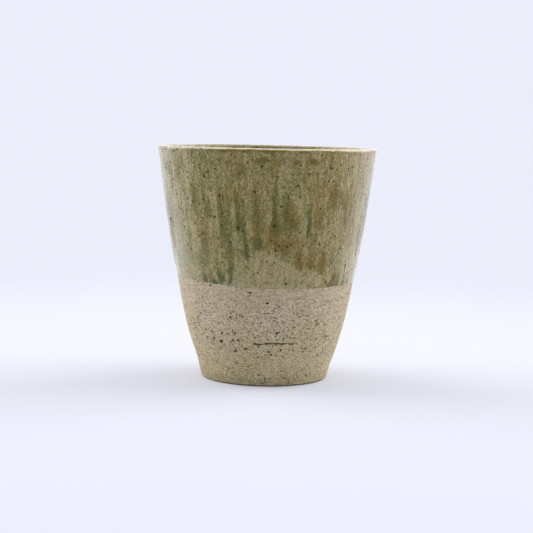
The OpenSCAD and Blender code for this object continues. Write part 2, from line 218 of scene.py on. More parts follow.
class CupFinish(PropertyGroup):
    """Colours of clay, glazes and grit, and how many marks the cup carries."""
    clay: tint("Clay", "Bare fired clay", (0.77, 0.702, 0.595))
    clay_foot: tint("Foot clay", "Bare clay round the foot", (0.75, 0.695, 0.535))
    clay_pale: tint("Pale clay", "Fine sand in the clay", (0.86, 0.82, 0.72))
    clay_dark: tint("Dark clay", "Shade between the grains of the clay", (0.44, 0.385, 0.275))
    # Painted shade, with some iron stain, in the holes of the clay, and painted contact shadow, with some
    # dirt, on the foot's lower edge
    pit: tint("Pit", "Inside of the holes in the clay", (0.18, 0.13, 0.03))
    thin_glaze: tint("Thin glaze", "Clear coat over the clay", (0.675, 0.615, 0.455))
    olive: tint("Olive", "Ash glaze of middling depth on the green side", (0.435, 0.435, 0.19))
    amber: tint("Amber", "Ash glaze of middling depth on the ochre side", (0.50, 0.43, 0.175))
    green: tint("Deep green", "Deepest glaze on the green side", (0.27, 0.315, 0.105))
    ochre: tint("Deep ochre", "Deepest glaze on the ochre side", (0.445, 0.37, 0.10))
    milk: tint("Milky blue", "Milky blue-green where ash and coat met", (0.535, 0.565, 0.455))
    rust: tint("Rust", "Dark flecks in the glaze", (0.21, 0.165, 0.02))
    fleck: tint("Fleck", "Pale flecks in the glaze", (0.70, 0.625, 0.44))
    # The lip's cream is real where the glaze ran thin, and is also painted on the inner wall under the lip as
    # painted light
    lip: tint("Lip", "Cream where the glaze ran off the lip", (0.91, 0.87, 0.74))
    iron: tint("Iron", "Iron specks", (0.20, 0.135, 0.03))
    grain: tint("Pale grain", "Feldspar grains", (0.86, 0.83, 0.74))
    floor: tint("Floor", "Floor and background", (0.925, 0.93, 0.98))
    pits: IntProperty(name="Pits", description="Small holes round the bare clay", default=1500, min=0)
    specks: IntProperty(name="Specks", description="Iron specks round the sides and back", default=110, min=0)
    grains: IntProperty(name="Grains", description="Pale grains round the cup", default=120, min=0)
    seed: IntProperty(name="Seed", description="Start of every random draw", default=7, min=0)


def smooth(low, high, value):
    """0 at low, 1 at high and an eased step between them. High may be the smaller one."""
    t = np.clip((value - low) / (high - low), 0, 1)
    return t * t * (3 - 2 * t)


def round_noise(azimuth, height, around, pitch, seed):
    """Smooth noise from -1 to 1 that closes on itself round the cup, with cells that are pitch high."""
    u = azimuth / TAU % 1.0 * around
    v = height / pitch + 4
    column = np.floor(u).astype(int)
    row = np.floor(v).astype(int)
    lattice = np.random.default_rng(seed).uniform(-1, 1, (int(row.max()) + 2, around))
    across = smooth(0, 1, u - column)
    up = smooth(0, 1, v - row)
    left = column % around
    right = (column + 1) % around
    low = lattice[row, left] * (1 - across) + lattice[row, right] * across
    high = lattice[row + 1, left] * (1 - across) + lattice[row + 1, right] * across
    return low * (1 - up) + high * up


def rim_noise(azimuth, around, seed):
    """Noise that changes only round the cup."""
    return round_noise(azimuth, 0.0, around, 1.0, seed)


def turn_between(a, b):
    """Signed angle from b to a, from -pi to pi."""
    return (a - b + math.pi) % TAU - math.pi


def grid(around, rows):
    """Azimuths of a grid of points, rows by points round."""
    return np.broadcast_to(TAU * np.arange(around) / around, (rows, around))


@cache
def lower_edge(node):
    """Height of a CAD glaze's lower edge outside, as a function of azimuth, from the node's own mesh."""
    points = np.array([v.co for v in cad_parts[node].data.vertices])
    azimuth = np.arctan2(points[:, 0], -points[:, 1])
    low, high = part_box(node)
    outside = points[:, 2] < (low.z + high.z) / 2
    bins = TAU * np.arange(-120, 120) / 240
    reach = math.radians(2.2)
    heights = [points[outside & (np.abs(turn_between(azimuth, b)) < reach), 2].min() for b in bins]
    heights = sum(np.roll(heights, k) for k in range(-2, 3)) / 5
    return lambda a: np.interp(a, bins, heights, period=TAU)


class Outline:
    """The clay's outline: radii as functions of height, and lines of points along it."""

    def __init__(self, shape):
        self.shape = shape
        self.lip_top = shape.height - shape.coat - shape.lip_corner
        self.wall_end = shape.lip_radius - shape.coat
        climb = self.lip_top - shape.belly_height
        self.wall_slope = (self.wall_end - shape.belly_radius + 4 * shape.wall_bow) / climb
        self.foot_slope = (shape.foot_top_radius - shape.foot_radius) / shape.foot_height
        radius = shape.corner_radius
        low = shape.floor_height + radius / 2
        self.tilt = math.atan(float(self.inner(low + radius / 2) - self.inner(low)) / (radius / 2))
        self.corner_top = shape.floor_height + radius * (1 - math.sin(self.tilt))
        self.corner_x = float(self.inner(self.corner_top)) - radius * math.cos(self.tilt)
        self.lip_x = float(self.outer(self.lip_top)) - shape.lip_corner

    def foot(self, azimuth):
        """Height of the trimmed foot, which leans."""
        return self.shape.foot_height - self.shape.foot_lean * np.sin(azimuth)

    def outer(self, height, foot=None):
        """Radius of the clay outside."""
        s = self.shape
        z = np.asarray(height, float)
        foot = s.foot_height if foot is None else foot
        foot_r = s.foot_radius + self.foot_slope * np.minimum(z, foot)
        rise = s.belly_height - foot
        t = np.clip((z - foot) / rise, 0, 1)
        belly_r = (
            (2 * t**3 - 3 * t**2 + 1) * foot_r + (t**3 - 2 * t**2 + t) * rise * s.belly_spread
            + (3 * t**2 - 2 * t**3) * s.belly_radius + (t**3 - t**2) * rise * self.wall_slope)
        t = np.clip((z - s.belly_height) / (self.lip_top - s.belly_height), 0, 1)
        wall_r = s.belly_radius + (self.wall_end - s.belly_radius) * t + s.wall_bow * 4 * t * (1 - t)
        return np.where(z < s.belly_height, belly_r, wall_r)

    def inner(self, height):
        """Radius of the clay inside, above the round corner."""
        s = self.shape
        z = np.asarray(height, float)
        wall = s.lip_wall + (s.base_wall - s.lip_wall) * (1 - np.clip(z / self.lip_top, 0, 1)) ** 1.5
        return self.outer(z) - wall

    def climb(self, low, high, step):
        """Points up the outside between two heights."""
        z = np.linspace(low, high, max(2, round((high - low) / step) + 1))
        return np.column_stack([self.outer(z), z])

    def over_lip(self, step):
        """Points over the lip, whose outer corner is tighter than its inner one."""
        corner = self.shape.lip_corner
        count = max(4, round(self.shape.lip_wall * 1.3 / step))
        a = math.pi * np.arange(1, count) / count
        reach = np.where(a < math.pi / 2, corner, self.shape.lip_wall - corner)
        return np.column_stack([self.lip_x + reach * np.cos(a), self.lip_top + corner * np.sin(a)])

    def descend(self, high, low, step):
        """Points down the inside between two heights."""
        z = np.linspace(high, low, max(2, round((high - low) / step) + 1))
        return np.column_stack([self.inner(z), z])

    def to_axis(self, step):
        """Points round the inside corner and along the floor, nearly to the axis."""
        s = self.shape
        span = math.pi / 2 - self.tilt
        count = max(3, round(s.corner_radius * span / step))
        a = -self.tilt - span * np.arange(1, count + 1) / count
        x = np.linspace(self.corner_x, step, max(3, round(self.corner_x / step)))[1:]
        corner_z = s.floor_height + s.corner_radius * (1 + np.sin(a))
        corner = np.column_stack([self.corner_x + s.corner_radius * np.cos(a), corner_z])
        return np.vstack([corner, np.column_stack([x, np.full(len(x), s.floor_height)])])

    def underside(self, step):
        """Points from near the axis under the hollow and over the ring that stands on the table."""
        s = self.shape
        ring = s.foot_radius - s.ring_width
        end = s.foot_radius - s.foot_round
        x = np.linspace(step, end, round(end / step))
        slope = smooth(ring + 0.3 * s.hollow_depth, ring - 0.4 * s.hollow_depth, x)
        return np.column_stack([x, s.hollow_depth * slope])


def offset_line(line, distance):
    """Radii and heights of a line's points, moved out of the clay by distance (rows by points round)."""
    way = np.gradient(line, axis=0)
    way /= np.linalg.norm(way, axis=1)[:, None]
    return line[:, :1] + way[:, 1:] * distance, line[:, 1:] - way[:, :1] * distance


def clay_relief(azimuth, height, seed):
    """How far the clay stands out of its outline: hand wobble, dents and throwing lines."""
    wobble = 0.07 * round_noise(azimuth, height, 6, 0.026, seed)
    dents = 0.045 * round_noise(azimuth, height, 44, 0.005, seed + 1)
    lines = 0.022 * round_noise(azimuth, height, 12, 0.0012, seed + 2)
    return (wobble + dents + lines) * MM


class Turning:
    """Rings of points turned round the axis, and the faces between them, in the order of the outline."""

    def __init__(self, shape):
        self.shape = shape
        self.points = []
        self.faces = []
        self.marks = {}
        self.total = 0
        self.last = None

    def rows(self, radius, height, **marks):
        """Adds rows of rings, joined to the last ring. Returns the first of them."""
        rows, around = radius.shape
        a = TAU * np.arange(around) / around
        x = radius * np.sin(a) - self.shape.rim_shift * smooth(0.3, 1, height / self.shape.height)
        self.points.append(np.stack([x, -radius * np.cos(a), height], axis=2).reshape(-1, 3))
        first = self.total
        self.total += rows * around
        for name, values in marks.items():
            self.marks.setdefault(name, []).append((first, np.broadcast_to(values, radius.shape).reshape(-1)))
        i = np.arange(around)
        j = (i + 1) % around
        for low in range(first, self.total - around, around):
            faces = np.column_stack([low + i, low + j, low + around + j, low + around + i])
            self.faces.extend(faces.tolist())
        if self.last:
            self.join(self.last, (first, around))
        self.last = (self.total - around, around)
        return first, around

    def join(self, low, high):
        """Closes the gap between two rings. One may have a whole number of times more points."""
        fine, coarse = (low, high) if low[1] >= high[1] else (high, low)
        step = fine[1] // coarse[1]
        faces = []
        for k in range(coarse[1]):
            near = coarse[0] + k
            far = coarse[0] + (k + 1) % coarse[1]
            points = [fine[0] + (k * step + i) % fine[1] for i in range(step + 1)]
            if step == 1:
                faces.append([points[0], points[1], far, near])
                continue
            for i in range(step):
                faces.append([points[i], points[i + 1], near if i < step // 2 else far])
            faces.append([near, points[step // 2], far])
        self.faces.extend(faces if fine is low else [f[::-1] for f in faces])

    def tip(self, ring, height, start):
        """Closes a ring near the axis with one point, at the start or the end of the outline."""
        first, around = ring
        self.points.append(np.array([[0.0, 0.0, height]]))
        for i in range(around):
            face = [first + i, first + (i + 1) % around, self.total]
            self.faces.append(face[::-1] if start else face)
        self.total += 1

    def make(self, name, material):
        """Makes the mesh object. Each mark becomes a float attribute of its points."""
        mesh = bpy.data.meshes.new(name)
        mesh.from_pydata(np.vstack(self.points).tolist(), [], self.faces)
        for mark, parts in self.marks.items():
            values = np.zeros(self.total, np.float32)
            for first, part in parts:
                values[first:first + len(part)] = part
            mesh.attributes.new(mark, "FLOAT", "POINT").data.foreach_set("value", values)
        return add_piece(name, mesh, material)


def add_piece(name, mesh, material):
    """Links a new piece of the cup, which rides on the cup's one body."""
    faces = len(mesh.polygons)
    mesh.validate()
    if len(mesh.polygons) != faces:
        raise RuntimeError(name + " has faulty faces")
    mesh.shade_smooth()
    mesh.materials.append(material)
    piece = bpy.data.objects.new(name, mesh)
    bpy.context.scene.collection.objects.link(piece)
    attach(piece, "root")
    return piece


def stamp(field, azimuth, height, radius, spots, profile, rough=None):
    """Adds spots to a grid. A spot is azimuth, height, half length, half height and depth."""
    around = field.shape[1]
    for a, z, half_length, half_height, depth in spots:
        middle = round(a / TAU * around) % around
        rows = np.nonzero(np.abs(height[:, middle] - z) < 1.7 * half_height)[0]
        if len(rows) == 0:
            continue
        reach = 1.7 * half_length / radius[rows[0], middle]
        columns = np.arange(math.floor((a - reach) / TAU * around), math.ceil((a + reach) / TAU * around) + 1)
        block = np.ix_(rows, columns % around)
        across = turn_between(azimuth[block], a) * radius[block] / half_length
        distance = np.hypot(across, (height[block] - z) / half_height)
        if rough is not None:
            distance = distance * (1 + rough[block])
        field[block] = np.maximum(field[block], depth * profile(distance))


def spots_in_metres(table):
    """Listed spots, with their azimuths in radians and their lengths in metres."""
    return [(math.radians(a), *(length * MM for length in lengths)) for a, *lengths in table]


class Mixer:
    """A node tree, with short calls for the nodes that the finishes and the stage share."""

    def __init__(self, tree):
        self.tree = tree

    def add(self, kind, **settings):
        """A new node with its settings."""
        node = self.tree.nodes.new(kind)
        for key, value in settings.items():
            setattr(node, key, value)
        return node

    def put(self, socket, value):
        """Sets a socket to a number or colour, or links it to another socket."""
        if isinstance(value, bpy.types.NodeSocket):
            self.tree.links.new(value, socket)
        else:
            socket.default_value = value

    def math(self, operation, a, b=0.0):
        """Result of an operation on two numbers."""
        node = self.add("ShaderNodeMath", operation=operation)
        self.put(node.inputs[0], a)
        self.put(node.inputs[1], b)
        return node.outputs[0]

    def ranged(self, value, low, high, to_low=0.0, to_high=1.0, easing="SMOOTHSTEP"):
        """Step from to_low to to_high as value goes from low to high."""
        node = self.add("ShaderNodeMapRange", interpolation_type=easing)
        self.put(node.inputs["Value"], value)
        for name, number in (("From Min", low), ("From Max", high), ("To Min", to_low), ("To Max", to_high)):
            node.inputs[name].default_value = number
        return node.outputs["Result"]

    def axis(self, place, name):
        """X, Y or Z of a place."""
        node = self.add("ShaderNodeSeparateXYZ")
        self.put(node.inputs[0], place)
        return node.outputs[name]

    def rays(self):
        """Share of rays that come from the camera, and of those that were mirrored or let through."""
        path = self.add("ShaderNodeLightPath").outputs
        return path["Is Camera Ray"], self.math("MAXIMUM", path["Is Glossy Ray"], path["Is Transmission Ray"])

    def choose(self, share, shader, other):
        """A shader, mixed by share with another."""
        node = self.add("ShaderNodeMixShader")
        self.put(node.inputs[0], share)
        self.put(node.inputs[1], shader)
        self.put(node.inputs[2], other)
        return node.outputs[0]


class Recipe(Mixer):
    """A material, with short calls for the textures, marks and bumps of the cup's finishes."""

    def __init__(self, name):
        self.material = bpy.data.materials.new(name)
        self.material.use_nodes = True
        super().__init__(self.material.node_tree)
        self.shader = self.tree.nodes["Principled BSDF"]
        self.place = self.add("ShaderNodeTexCoord").outputs["Object"]

    def mark(self, name):
        """One of the float attributes of the mesh."""
        return self.add("ShaderNodeAttribute", attribute_name=name).outputs["Fac"]

    def stretch(self, x, y, z):
        """Object coordinates scaled by axis, which draws a texture out along the least scaled one."""
        mapping = self.add("ShaderNodeMapping")
        self.put(mapping.inputs["Vector"], self.place)
        mapping.inputs["Scale"].default_value = (x, y, z)
        return mapping.outputs["Vector"]

    def texture(self, kind, width, place=None):
        """A texture with features about width metres wide."""
        node = self.add(kind)
        self.put(node.inputs["Vector"], place or self.place)
        node.inputs["Scale"].default_value = 1 / width
        return node

    def noise(self, width, detail=2.0, place=None):
        """Noise from 0 to 1, most of it near 0.5."""
        node = self.texture("ShaderNodeTexNoise", width, place)
        node.inputs["Detail"].default_value = detail
        return node.outputs["Fac"]

    def sway(self, noise, reach, swing):
        """Number from -swing to swing, which it gets to where noise is reach away from 0.5."""
        return self.ranged(noise, 0.5 - reach, 0.5 + reach, -swing, swing)

    def flecks(self, width, reach, share):
        """Round spots, reach of a cell in radius, in a share of random cells about width metres wide."""
        node = self.texture("ShaderNodeTexVoronoi", width)
        chance = self.add("ShaderNodeSeparateColor")
        self.put(chance.inputs[0], node.outputs["Color"])
        spot = self.ranged(node.outputs["Distance"], reach, reach * 0.45)
        return self.math("MULTIPLY", spot, self.math("LESS_THAN", chance.outputs[0], share))

    def blend(self, factor, a, b):
        """Colour a, blended by factor with colour b. Each is a socket, or written as the eye sees it."""
        node = self.add("ShaderNodeMix", data_type="RGBA")
        self.put(node.inputs[0], factor)
        for socket, colour in ((node.inputs[6], a), (node.inputs[7], b)):
            self.put(socket, colour if isinstance(colour, bpy.types.NodeSocket) else to_linear(colour))
        return node.outputs[2]

    def bump(self, height, distance, normal=None):
        """Normal of a bump, distance metres deep, on top of another bump's normal."""
        node = self.add("ShaderNodeBump")
        node.inputs["Distance"].default_value = distance
        self.put(node.inputs["Height"], height)
        if normal:
            self.put(node.inputs["Normal"], normal)
        return node.outputs[0]

    def finish(self, colour, roughness, normal, ior, dull=None):
        """Fills in the shader and returns the material. Where dull is 1, nothing is reflected."""
        self.put(self.shader.inputs["Base Color"], colour)
        if dull is not None:
            self.put(self.shader.inputs["Specular IOR Level"], self.ranged(dull, 0.0, 1.0, 0.5, 0.0))
        self.put(self.shader.inputs["Roughness"], roughness)
        self.put(self.shader.inputs["Normal"], normal)
        self.shader.inputs["IOR"].default_value = ior
        return self.material


def clay_material(finish):
    """Dry sandy stoneware with pale sand and faint turning lines; its pits and the foot's lower edge are
    darkened with painted shade and some stain.
    """
    mix = Recipe("bare_clay")
    height = mix.axis(mix.place, "Z")
    grain = mix.noise(0.0005, 3.0)
    lines = mix.noise(0.005, 3.0, mix.stretch(1, 1, 12))
    clouds = mix.noise(0.014, 2.0)
    tone = mix.math("ADD", mix.math("MULTIPLY", grain, 0.75), mix.math("MULTIPLY", lines, 0.25))
    level = mix.math("ADD", height, mix.sway(clouds, 0.15, 0.006))
    colour = mix.blend(mix.ranged(level, 0.034, 0.008), finish.clay, finish.clay_foot)
    colour = mix.blend(mix.ranged(clouds, 0.35, 0.65, 0.0, 0.16), colour, finish.clay_pale)
    colour = mix.blend(mix.ranged(tone, 0.55, 0.38, 0.0, 0.75), colour, finish.clay_dark)
    # Darker towards the bottom, over the lowest 6 mm
    colour = mix.blend(mix.ranged(height, 0.006, 0.0, 0.0, 0.3), colour, finish.clay_dark)
    begin, full, thin, end = PITTED_BAND
    band = mix.math("MULTIPLY", mix.ranged(height, begin, full), mix.ranged(height, end, thin))
    sand = mix.flecks(0.0011, 0.40, mix.ranged(band, 0.0, 1.0, 0.35, 0.60))
    colour = mix.blend(mix.math("MULTIPLY", sand, 0.75), colour, finish.clay_pale)
    # Holes darkened with painted shade and some iron stain: the mesh mark for pits, drag groove and the
    # foot's lower edge, and small pinholes that also dip in the bump
    pinholes = mix.flecks(0.0010, 0.35, mix.ranged(band, 0.0, 1.0, 0.04, 0.17))
    shade_and_stain_mask = mix.math("MAXIMUM", mix.mark("pit"), mix.math("MULTIPLY", pinholes, 0.8))
    colour = mix.blend(mix.ranged(shade_and_stain_mask, 0.2, 0.8, 0.0, 0.92), colour, finish.pit)
    surface = mix.math("ADD", grain, mix.math("MULTIPLY", lines, 0.4))
    surface = mix.math("SUBTRACT", mix.math("ADD", surface, mix.math("MULTIPLY", sand, 0.5)), pinholes)
    normal = mix.bump(surface, 0.00014)
    return mix.finish(colour, 0.86, normal, 1.45, shade_and_stain_mask)


def glaze_material(finish, name):
    """Glassy ash glaze, whose colour follows the depth and hue marks of the mesh."""
    mix = Recipe(name)
    drift = mix.noise(0.0040, 2.0, mix.stretch(1, 1, 0.45))
    hue = mix.math("ADD", mix.mark("hue"), mix.sway(drift, 0.17, 0.25))
    mottle = mix.noise(0.0014, 3.0, mix.stretch(1, 1, 0.35))
    streaks = mix.noise(0.0013, 2.0, mix.stretch(1, 1, 0.09))
    fine = mix.noise(0.00048, 2.0, mix.stretch(1, 1, 0.6))
    depth = mix.mark("depth")
    for noise, reach, swing in ((mottle, 0.20, 0.13), (streaks, 0.20, 0.12), (fine, 0.16, 0.30)):
        depth = mix.math("ADD", depth, mix.sway(noise, reach, swing))
    side = mix.ranged(hue, -0.60, 0.80)
    middling = mix.blend(side, finish.olive, finish.amber)
    deep = mix.blend(side, finish.green, finish.ochre)
    colour = mix.blend(mix.ranged(depth, -0.15, 0.75), finish.thin_glaze, middling)
    colour = mix.blend(mix.ranged(depth, 0.50, 1.25), colour, deep)
    colour = mix.blend(mix.ranged(hue, -0.30, -1.10, 0.0, 0.65), colour, finish.milk)
    beige = mix.flecks(0.0014, 0.40, 0.6)
    pale = mix.math("MULTIPLY", beige, mix.ranged(depth, 0.9, 0.3, 0.08, 0.45))
    colour = mix.blend(pale, colour, finish.fleck)
    dark = mix.flecks(0.0014, 0.38, 0.17)
    colour = mix.blend(mix.math("MULTIPLY", dark, 0.85), colour, finish.rust)
    # The lip mark: the real cream crest where the glaze ran thin, and painted light on the inner wall just
    # under the lip
    lip = mix.mark("lip")
    colour = mix.blend(lip, colour, finish.lip)
    halo = mix.mark("halo")
    colour = mix.blend(mix.ranged(halo, 0.0, 1.0, 0.0, 0.8), colour, finish.iron)
    ripple = mix.bump(mix.noise(0.0028, 2.0, mix.stretch(1, 1, 0.5)), 0.00022)
    ripple = mix.bump(streaks, 0.00012, ripple)
    pores = mix.bump(mix.math("SUBTRACT", mix.math("ADD", fine, beige), dark), 0.00011, ripple)
    roughness = mix.math("ADD", mix.ranged(mottle, 0.3, 0.7, 0.08, 0.22), mix.math("MULTIPLY", lip, 0.3))
    return mix.finish(colour, roughness, pores, 1.5, mix.math("MAXIMUM", halo, dark))


def grit_material(name, colour, roughness, ior):
    """Small hard grains with an uneven tone."""
    mix = Recipe(name)
    tone = mix.noise(0.0004, 2.0)
    dark = [c * 0.55 for c in colour]
    shade = mix.blend(mix.ranged(tone, 0.35, 0.7), dark, colour)
    return mix.finish(shade, roughness, mix.bump(tone, 0.00008), ior)


class TEACUP_OT_throw_body(Operator):
    """Throw and trim the clay body, with its pitted bare foot in full detail"""
    bl_idname = "teacup.throw_body"
    bl_label = "Throw the clay body"

    def execute(self, context):
        shape = context.scene.teacup_shape
        finish = context.scene.teacup_finish
        cup = Outline(shape)
        turning = Turning(shape)
        first = self.stand(turning, cup, finish)
        turning.tip(first, shape.hollow_depth, True)
        self.bare_wall(turning, cup, finish)
        self.hidden_wall(turning, cup)
        turning.tip(turning.last, shape.floor_height, False)
        body = turning.make("thrown_clay_body", clay_material(finish))
        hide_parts("clay_body")
        return {"FINISHED"}

    def stand(self, turning, cup, finish):
        """The underside: a hollow with spiral turning marks and the ring round it."""
        line = cup.underside(0.55 * MM)
        azimuth = grid(UNDER, len(line))
        radius = line[:, :1] + azimuth * 0
        spiral = 0.09 * np.sin(TAU * radius / 0.0024 + azimuth) * smooth(0.001, 0.004, radius)
        grit = 0.05 * round_noise(azimuth, radius, 150, 0.0009, finish.seed + 30)
        pits = np.zeros(azimuth.shape)
        draw = np.random.default_rng(finish.seed + 31)
        reach = cup.shape.foot_radius - 0.9 * MM
        spots = [
            (draw.uniform(0, TAU), math.sqrt(draw.uniform(0.02, 1)) * reach, draw.uniform(0.3, 0.7) * MM,
             draw.uniform(0.25, 0.6) * MM, draw.uniform(0.2, 0.45) * MM) for _ in range(UNDER_PITS)]
        stamp(pits, azimuth, radius, radius, spots, lambda d: smooth(1.1, 0.45, d))
        in_hollow = line[:, 1:] > 0.2 * MM
        lift = np.where(in_hollow, (spiral + grit) * MM, np.abs(grit) * MM) + pits
        # The holes underneath get painted shade, with some stain, by their depth
        return turning.rows(radius, np.maximum(line[:, 1:] + lift, 0), pit=pits / DARK_DEPTH)

    def bare_wall(self, turning, cup, finish):
        """The worn edge of the foot, and the bare clay up to the glaze."""
        shape = cup.shape
        edge = grid(FINE, EDGE_RINGS)
        share = np.linspace(0, 1, EDGE_RINGS)[:, None]
        lean = math.atan(cup.foot_slope)
        middle = shape.foot_radius + shape.foot_round * (math.tan(lean) - 1 / math.cos(lean))
        angle = -math.pi / 2 + (math.pi / 2 - lean) * share
        height = shape.foot_round * (1 + np.sin(angle)) + edge * 0
        worn = self.relief(edge, height, finish) * share
        chips = 0.6 * MM * np.clip(rim_noise(edge, 90, finish.seed + 41), 0, 1) * share * (1 - share)
        radius = middle + shape.foot_round * np.cos(angle) + worn - chips
        # Painted contact shadow, with some dirt, on the lowest part of the worn edge
        turning.rows(radius, height, pit=0.60 * smooth(1.0, 0.7, share))
        top = lower_edge("coat_glaze")(grid(FINE, 1)).max() + 0.6 * MM
        start = shape.foot_round * (1 - math.sin(lean))
        rows = start + (top - start) * np.linspace(0, 1, WALL_RINGS + 1)[1:]
        marked = np.arange(DRAG_HEIGHT - DRAG_REACH, DRAG_HEIGHT + DRAG_REACH, 0.13 * MM)
        rows = rows[np.abs(rows - DRAG_HEIGHT) > DRAG_REACH + 0.05 * MM]
        height = np.sort(np.concatenate([rows, marked]))[:, None]
        azimuth = grid(FINE, len(height))
        height = height + azimuth * 0
        radius = cup.outer(height, cup.foot(azimuth))
        pits = self.pits(azimuth, height, radius, finish)
        drag = self.drag_mark(azimuth, height, finish.seed + 54)
        relief = self.relief(azimuth, height, finish) - np.maximum(pits, drag)
        # The holes and the drag groove get painted shade, with some stain, by their depth
        turning.rows(radius + relief, height, pit=np.maximum(pits / DARK_DEPTH, drag / (0.28 * MM)))

    def relief(self, azimuth, height, finish):
        """Relief of the bare clay: what lies under the glaze too, and dry grit on top of it."""
        grit = 0.030 * round_noise(azimuth, height, 330, 0.0006, finish.seed + 10)
        coarse = 0.028 * round_noise(azimuth, height, 150, 0.0013, finish.seed + 11)
        tool = 0.030 * round_noise(azimuth, height, 9, 0.0008, finish.seed + 12)
        dry = grit + coarse + tool * smooth(0.015, 0.012, height)
        return clay_relief(azimuth, height, finish.seed) + dry * MM

    def pits(self, azimuth, height, radius, finish):
        """Depth of the holes that grit left when the clay was trimmed, most of them in one band."""
        draw = np.random.default_rng(finish.seed + 20)
        spots = spots_in_metres(FRONT_PITS)
        for _ in range(finish.pits):
            banded = draw.random() < PIT_SHARE
            z = abs(draw.normal(PIT_HEIGHT, PIT_SPREAD)) if banded else draw.uniform(0.001, 0.0375)
            half = draw.uniform(0.16, 0.30) * MM * (1.5 if draw.random() < 0.10 else 1)
            long = half * draw.uniform(0.9, 2.1)
            spots.append((draw.uniform(-math.pi, math.pi), z, long, half, draw.uniform(0.12, 0.34) * MM))
        depth = np.zeros(azimuth.shape)
        rough = 0.3 * round_noise(azimuth, height, 420, 0.0005, finish.seed + 21)
        stamp(depth, azimuth, height, radius, spots, lambda d: smooth(1.15, 0.4, d), rough)
        return depth

    def drag_mark(self, azimuth, height, seed):
        """Depth of the groove that a grain left when it was dragged across the front."""
        turn = np.degrees(turn_between(azimuth, 0))
        middle = DRAG_HEIGHT + 0.00024 * rim_noise(azimuth, 110, seed) + 0.0003 * smooth(22, 30, turn)
        half = 0.00029 + 0.00010 * rim_noise(azimuth, 300, seed + 1)
        along = smooth(-10, -8, turn) * smooth(22, 20, turn) * (0.9 + 0.2 * rim_noise(azimuth, 210, seed + 3))
        tail = 0.6 * smooth(18, 21, turn) * smooth(31, 27, turn)
        tail = tail * smooth(-0.1, 0.4, rim_noise(azimuth, 150, seed + 2))
        across = np.abs(height - middle) / half
        groove = (along + tail) * smooth(1.7, 0.5, across)
        torn = 0.7 * smooth(-9.5, -8, turn) * smooth(-5, -6.5, turn) * smooth(2.4, 0.8, across)
        return 0.24 * MM * np.maximum(groove, torn * smooth(-0.5, 0.3, rim_noise(azimuth, 500, seed + 4)))

    def hidden_wall(self, turning, cup):
        """The clay under the glazes, up the outside, over the lip and down to the floor."""
        low = lower_edge("coat_glaze")(grid(FINE, 1)).max() + 2 * MM
        for line in (
                cup.climb(low, cup.lip_top, 2 * MM), cup.over_lip(0.9 * MM),
                cup.descend(cup.lip_top, cup.corner_top, 3 * MM), cup.to_axis(2 * MM)):
            turning.rows(*offset_line(line, grid(HIDDEN, len(line)) * 0 - SET_BACK))


class GlazeRuns:
    """Depth and hue of the ash glaze, as grids over the cup."""

    def __init__(self, finish, edge):
        self.seed = finish.seed
        self.runs = [(math.radians(a), top * MM, low * MM, math.radians(w), deep, hue)
                     for a, top, low, w, deep, hue in FRONT_RUNS]
        draw = np.random.default_rng(finish.seed + 50)
        turn, end = RUNS_BEHIND
        while turn < end:
            a = math.radians(turn)
            low = float(edge(a)) + draw.uniform(-0.001, 0.012)
            top = min(low + draw.uniform(0.010, 0.038), 0.080)
            half = math.radians(draw.uniform(1.4, 3.6))
            self.runs.append((a, top, low, half, draw.uniform(0.35, 1.0), draw.uniform(-0.7, 0.9)))
            if draw.random() < 0.6:
                top = draw.uniform(0.070, 0.082)
                low = top - draw.uniform(0.006, 0.030)
                half = math.radians(draw.uniform(1.4, 3.2))
                self.runs.append((a + 0.04, top, low, half, draw.uniform(0.2, 0.5), draw.uniform(-0.4, 0.6)))
            turn += draw.uniform(3.2, 6.5)

    def fields(self, azimuth, height, radius):
        """Depth and hue over a grid."""
        seed = self.seed + 100
        streaks = round_noise(azimuth, height, 125, 0.030, seed)
        streaks = streaks + 0.6 * round_noise(azimuth, height, 270, 0.016, seed + 1)
        clouds = round_noise(azimuth, height, 30, 0.010, seed + 2)
        clouds = clouds + 0.6 * round_noise(azimuth, height, 70, 0.005, seed + 3)
        # Painted light: away from the front, more so below 62 mm, the glaze's depth is lowered, which makes
        # it paler and a little thinner, to stand in for the brighter lit sides
        away = smooth(0.99, 0.50, np.cos(azimuth))
        depth = 0.44 + 0.14 * streaks + 0.085 * clouds - away * (0.12 + 0.17 * smooth(0.062, 0.048, height))
        weight = np.full(azimuth.shape, 0.45)
        drift = round_noise(azimuth, height, 24, 0.014, seed + 4)
        hue = weight * (0.14 + 0.44 * np.sin(azimuth) + 0.45 * drift)
        around = azimuth.shape[1]
        for a, top, low, half, deep, tone in self.runs:
            first = math.floor((a - 2.2 * half) / TAU * around)
            last = math.ceil((a + 2.2 * half) / TAU * around)
            columns = np.arange(first, last + 1) % around
            z = height[:, columns]
            sway = 0.45 * half * np.sin(z / 0.0047 + 40 * a)
            across = turn_between(azimuth[:, columns], a + sway) / half
            ragged = 0.45 * round_noise(azimuth[:, columns], z, 220, 0.0022, seed + 5)
            tip = np.minimum((z - low) / (half * radius[:, columns]) - 1, 0)
            body = smooth(1.5, 0.0, np.hypot(across, tip) + ragged)
            fade = smooth(top, top - 0.6 * (top - low), z)
            run = deep * body * fade * (0.80 + 0.30 * smooth(low + 0.007, low, z))
            depth[:, columns] += run
            hue[:, columns] += run * tone
            weight[:, columns] += run
        return depth, hue / weight


